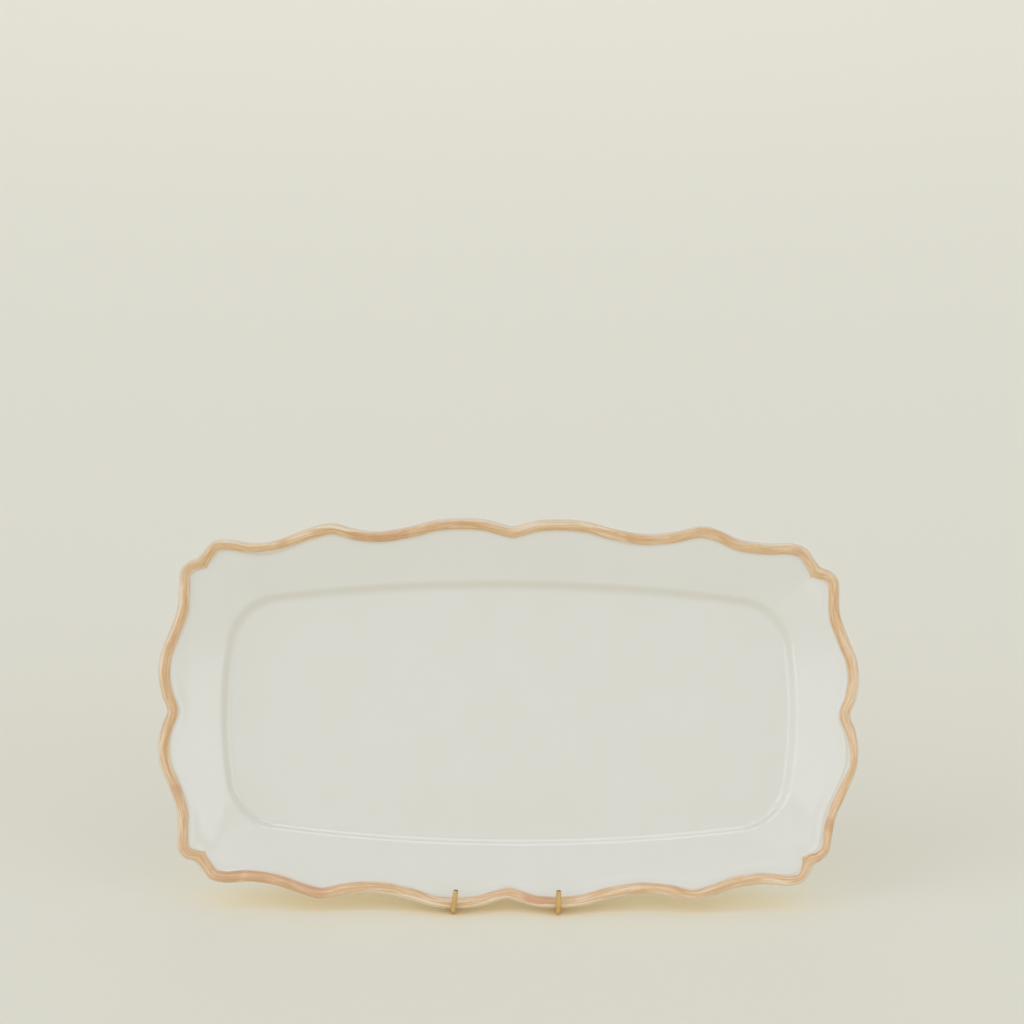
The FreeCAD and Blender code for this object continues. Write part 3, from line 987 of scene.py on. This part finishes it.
# Far soft lights: name, azimuth, elevation, angle, strength, colour. Azimuth 0 shines from the
# front and -90 from the left.
COOL = (0.83, 0.95, 1.18)
PLAIN = (1.0, 0.985, 0.96)
SUNS_AWAY = 3.0  # a sun shines alike from any distance
WINDOWS = [
    ("left_window", -58.0, 18.0, 54.0, 0.58, COOL),
    ("right_window", 46.0, 18.0, 30.0, 0.21, COOL),
    ("front_fill", 6.0, 14.0, 60.0, 0.31, PLAIN),
]
# Paper walls to the sides, which light the floor without a reflection of their own.
WALLS = [
    ("left_wall", -88.0, 30.0, 60.0, 0.03, PLAIN),
    ("right_wall", 88.0, 30.0, 60.0, 0.08, PLAIN),
]
# Lamps in an arch over the dish, seen only as reflections: azimuth, elevation, angle, strength.
# They draw the two fine bright lines round the right and bottom of the step.
LAMPS = [
    (-43, 10, 14, 0.065),
    (-50, 27, 16, 0.1),
    (-52, 48, 17, 0.13),
    (-40, 66, 17, 0.12),
    (4, 79, 17, 0.16),
    (44, 66, 15, 0.08),
]


def stage():
    """A pale floor, wide enough to have no edge in view, with painted bounce light and a painted
    contact shadow under the dish.
    """
    turns = np.linspace(0, 2 * math.pi, 64, endpoint=False)
    circle = np.stack([-np.cos(turns), np.sin(turns), 0 * turns], axis=-1)
    rings = np.array([radius * circle for radius in FLOOR_RADII])
    mesh = bpy.data.meshes.new("floor")
    mesh.from_pydata(rings.reshape(-1, 3).tolist(), [], skin(rings, tube=False)[:-1])
    floor = bpy.data.objects.new("floor", mesh)
    bpy.context.scene.collection.objects.link(floor)
    material, tree = new_material("paper")
    # Close under the dish, ambient occlusion sets the paper's colour: a paler, warmer painted
    # bounce light, and nearest the dish a warm brown painted contact shadow.
    colour = PAPER
    for reach, low, high, tint in (
        (PAINTED_BOUNCE_REACH, 0.5, 0.95, PAPER_PAINTED_BOUNCE),
        (PAINTED_SHADOW_REACH, 0.35, 0.95, PAPER_PAINTED_CONTACT_SHADOW),
    ):
        open_to_sky = add(tree, "AmbientOcclusion", {"samples": 8}, Distance=reach)
        share = ramp(tree, open_to_sky.node.outputs["AO"], low, high)
        colour = mix_colours(tree, share, tint, colour)
    finish_material(tree, Base_Color=colour, Roughness=0.9, Specular_IOR_Level=0.1)
    mesh.materials.append(material)


def sun(name, azimuth, elevation, angle, strength, colour):
    """A far soft light, as the tables above list them."""
    data = bpy.data.lights.new(name, "SUN")
    data.angle = math.radians(angle)
    data.energy = strength
    data.color = colour
    light = bpy.data.objects.new(name, data)
    turn, rise = math.radians(azimuth), math.radians(elevation)
    towards = Vector((
        math.sin(turn) * math.cos(rise),
        -math.cos(turn) * math.cos(rise),
        math.sin(rise),
    ))
    light.rotation_euler = towards.to_track_quat("Z", "Y").to_euler()
    light.location = towards * SUNS_AWAY
    bpy.context.scene.collection.objects.link(light)
    return light


def area_light(name, place, aim, size, power, colour):
    """A soft round lamp that is part of the scene, aimed at a point."""
    data = bpy.data.lights.new(name, "AREA")
    data.shape = "DISK"
    data.size = size
    data.energy = power
    data.color = colour
    light = bpy.data.objects.new(name, data)
    light.location = place
    light.rotation_euler = (Vector(place) - Vector(aim)).to_track_quat("Z", "Y").to_euler()
    bpy.context.scene.collection.objects.link(light)


def studio():
    """Even light all round: paper-coloured at the horizon, and dimmer behind the camera."""
    world = bpy.data.worlds.new("studio")
    world.use_nodes = True
    tree = world.node_tree
    tree.nodes.clear()
    direction = tree.nodes.new("ShaderNodeTexCoord").outputs["Generated"]
    height = add(tree, "SeparateXYZ", None, Vector=direction).node.outputs["Z"]
    sky = mix_colours(tree, ramp(tree, height, 0.0, 0.3), HORIZON, SKY)
    towards = on_vectors(tree, "DOT_PRODUCT", direction, ROOM_DIRECTION).outputs["Value"]
    room = ramp(tree, towards, 0.87, 0.985, 0.0, 0.8)
    colour = mix_colours(tree, room, sky, ROOM)
    background = add(tree, "Background", None, Color=colour, Strength=1.0)
    output = tree.nodes.new("ShaderNodeOutputWorld")
    tree.links.new(background, output.inputs["Surface"])
    bpy.context.scene.world = world


def lights():
    """The studio's world, its windows and walls, the lamps overhead and a wash far behind."""
    studio()
    for row in WINDOWS:
        sun(*row)
    for number, (azimuth, elevation, angle, strength) in enumerate(LAMPS):
        lamp = sun(f"lamp_{number}", azimuth, elevation, angle, strength, COOL)
        lamp.visible_diffuse = False
    for row in WALLS:
        wall = sun(*row)
        wall.visible_glossy = False
    area_light("far_wash", (0, 3.8, 2.4), (0, 3.4, 0), 2.0, 7.5, (1.0, 0.99, 0.97))


def camera():
    """The photograph's view of the platter."""
    back = Vector((
        math.sin(CAMERA_AZIMUTH) * math.cos(CAMERA_PITCH),
        -math.cos(CAMERA_AZIMUTH) * math.cos(CAMERA_PITCH),
        math.sin(CAMERA_PITCH),
    ))
    level = Vector((math.cos(CAMERA_AZIMUTH), math.sin(CAMERA_AZIMUTH), 0))
    upright = back.cross(level)
    right = level * math.cos(CAMERA_ROLL) + upright * math.sin(CAMERA_ROLL)
    top = back.cross(right)
    data = bpy.data.cameras.new("camera")
    data.lens = data.sensor_width * CAMERA_DISTANCE / FIELD
    view = bpy.data.objects.new("camera", data)
    place_at = Vector(PLATTER_MIDDLE) + back * CAMERA_DISTANCE
    place_at += right * MIDDLE_LEFT + top * MIDDLE_BELOW
    turned = Matrix((right, top, back)).transposed().to_4x4()
    view.matrix_world = Matrix.Translation(place_at) @ turned
    bpy.context.scene.collection.objects.link(view)
    bpy.context.scene.camera = view


# ---- Build -------------------------------------------------------------------------------
bpy.context.scene.view_settings.view_transform = "Standard"
dish(white_glaze())
rim_glaze(tan_glaze())
build_stand(brass())
stage()
lights()
camera()
